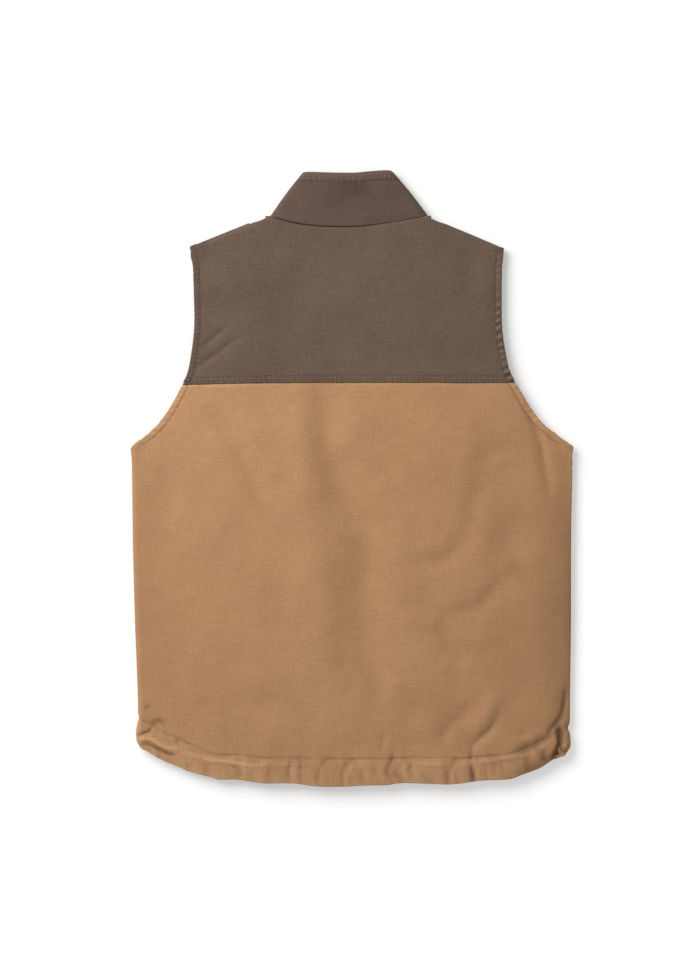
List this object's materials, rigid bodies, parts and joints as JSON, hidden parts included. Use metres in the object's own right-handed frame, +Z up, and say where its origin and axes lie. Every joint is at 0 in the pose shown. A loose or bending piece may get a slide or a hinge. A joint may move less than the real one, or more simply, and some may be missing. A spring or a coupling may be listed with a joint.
{
  "type": "canvas vest",
  "caption": "Sleeveless canvas work vest with a dark yoke and stand collar, a tan body and a curved gathered hem, laid flat on its front with its back upwards.",
  "frame": {"origin": "on the floor under the middle of the laid vest's bounding box", "axes": "+Z up from the floor, +Y from the hem towards the collar, +X to the right seen from above"},
  "size_m": [0.5688, 0.7956, 0.0292],
  "materials": {
    "tan_canvas": "washed tan cotton canvas, matt, with a fine plain weave",
    "dark_canvas": "washed dark brown cotton canvas, matt, with a fine plain weave",
    "zip": "dark brown coil zip on woven tape, matt"
  },
  "bodies": {
    "root": {"back_panel": "tan_canvas", "back_yoke": "dark_canvas", "front_panel_left": "tan_canvas", "front_panel_right": "tan_canvas", "front_yoke_left": "dark_canvas", "front_yoke_right": "dark_canvas", "collar": "dark_canvas", "front_zip": "zip"}
  },
  "joints": []
}
